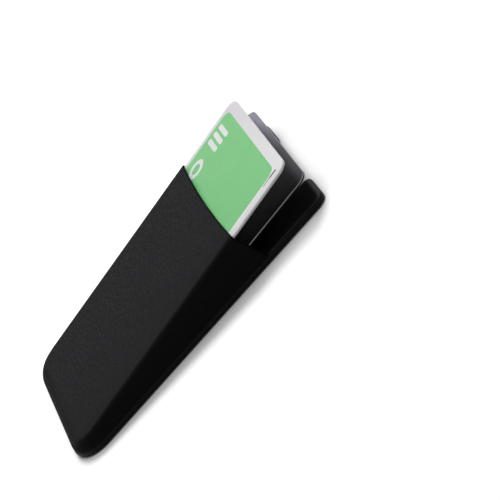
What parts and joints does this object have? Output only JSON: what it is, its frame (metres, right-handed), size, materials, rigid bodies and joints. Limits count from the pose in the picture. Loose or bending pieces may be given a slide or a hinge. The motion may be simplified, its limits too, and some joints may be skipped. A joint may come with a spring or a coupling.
{
  "type": "stick-on card pouch",
  "caption": "Flat stick-on pouch of stretch fabric on a thin base plate with a thumb notch, for carrying bank cards on the back of a phone",
  "frame": {"origin": "middle of the plate's outline on the adhesive face, the plane that sticks to a phone", "axes": "+X across the width, +Y along the length towards the mouth, +Z away from the adhesive face"},
  "size_m": [0.0576, 0.0908, 0.0141],
  "materials": {
    "adhesive": "matte pressure-sensitive adhesive",
    "plate": "smooth coated board with a soft rounded edge",
    "smoked_card": "smoked card, satin",
    "printed_card": "white card with a green printed panel, satin",
    "stretch_fabric": "fine mottled stretch knit, matte"
  },
  "bodies": {
    "root": {"adhesive_sheet": "adhesive", "base_plate": "plate", "rear_card": "smoked_card", "front_card": "printed_card", "stretch_pouch": "stretch_fabric"}
  },
  "joints": []
}
